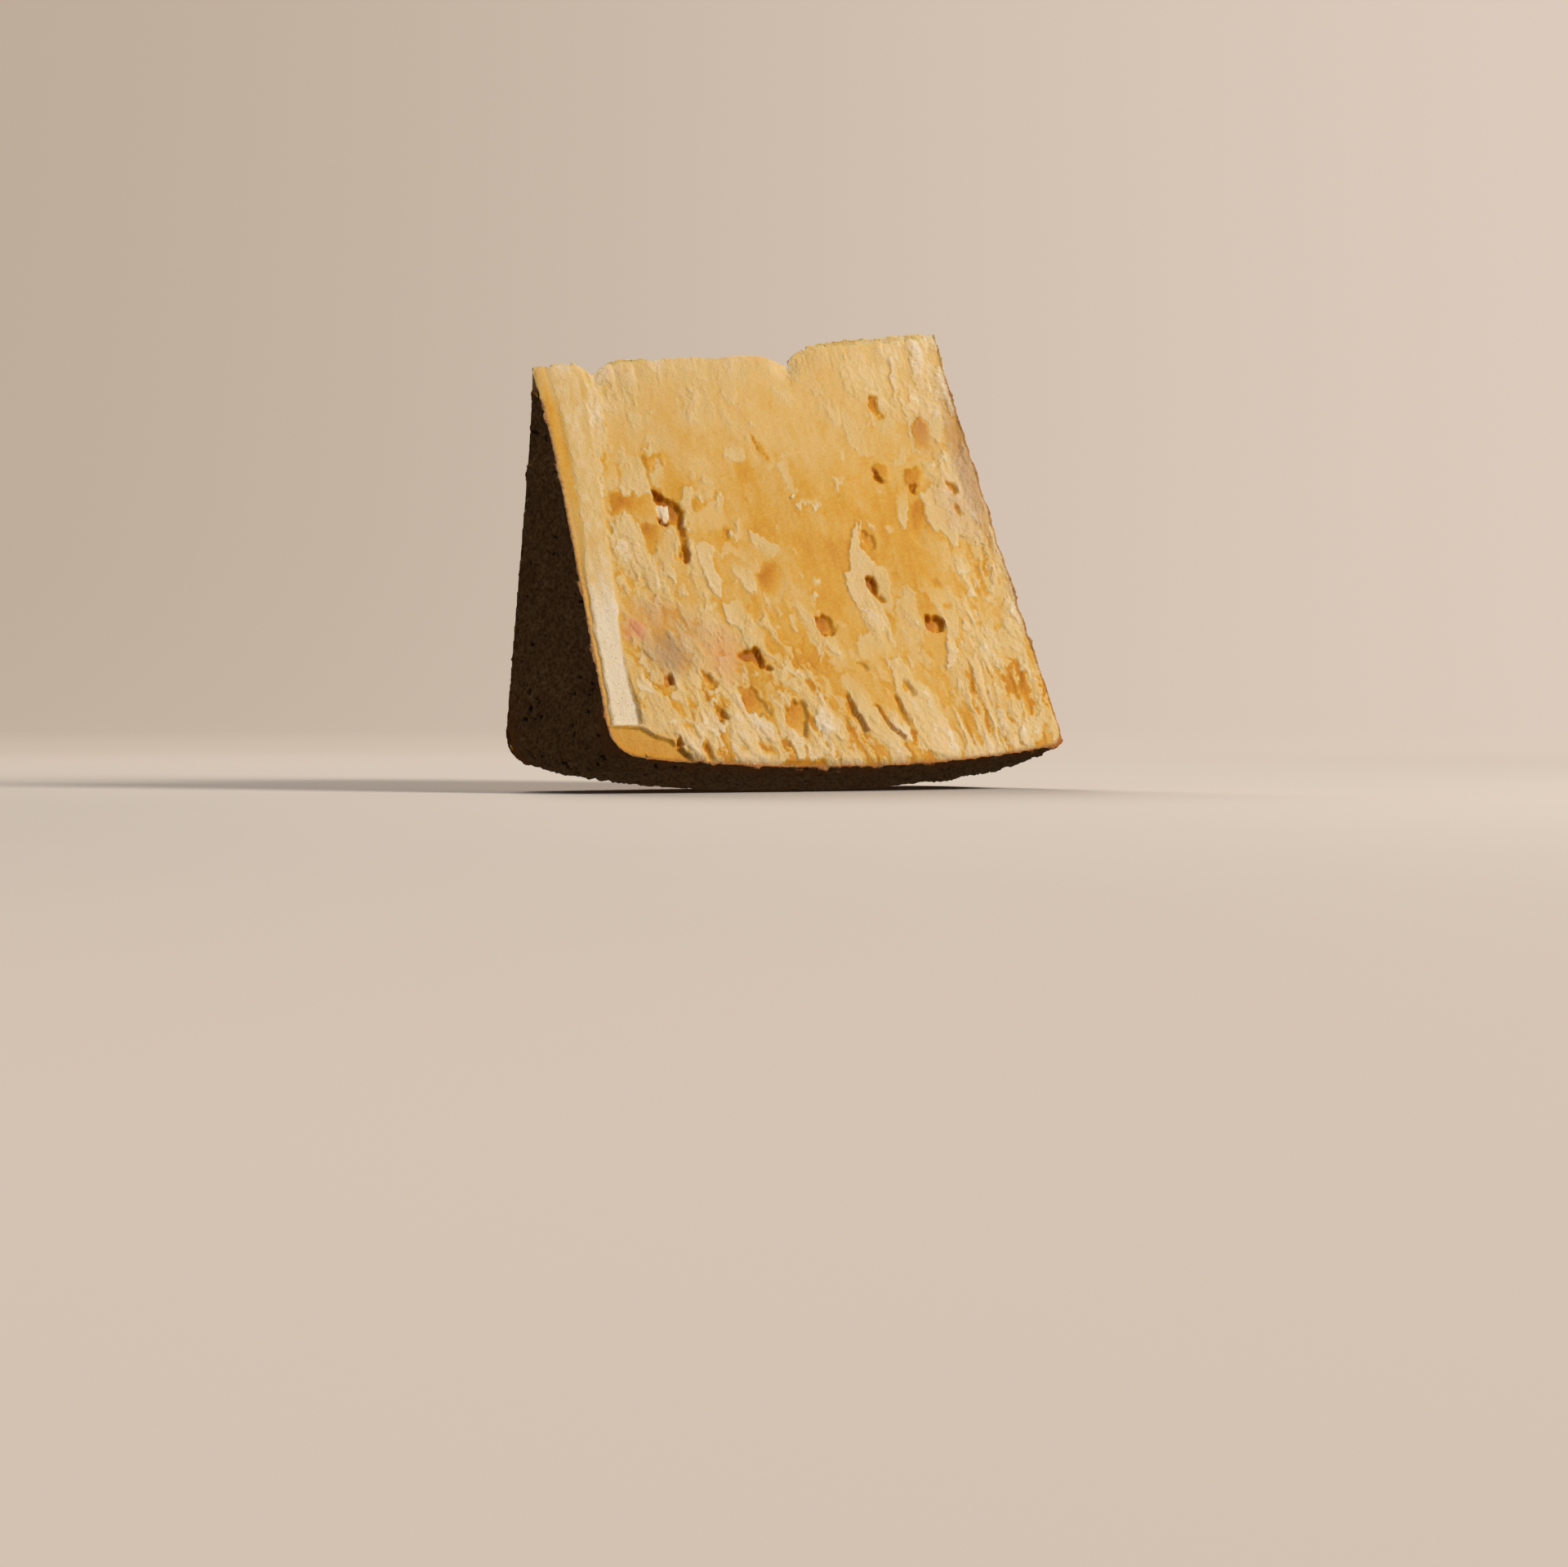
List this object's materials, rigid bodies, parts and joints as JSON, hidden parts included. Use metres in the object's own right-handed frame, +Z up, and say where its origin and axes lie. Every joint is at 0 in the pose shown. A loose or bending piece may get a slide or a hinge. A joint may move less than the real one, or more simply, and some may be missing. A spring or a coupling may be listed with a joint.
{
  "type": "cheese wedge",
  "caption": "Wedge split from a small wheel of aged hard cheese, standing on its rind: two rough broken faces meet in a ragged tip and brown rind closes the ends.",
  "frame": {"origin": "on the resting surface, below the middle of the wedge's bounding box", "axes": "+X along the length of the wedge, which was the wheel's axis; +Y across it, towards the near-upright broken face; +Z up, from the rind to the tip"},
  "size_m": [0.1384, 0.0624, 0.1228],
  "materials": {
    "paste": null
  },
  "bodies": {
    "root": {"cheese_wedge": "paste"}
  },
  "joints": []
}
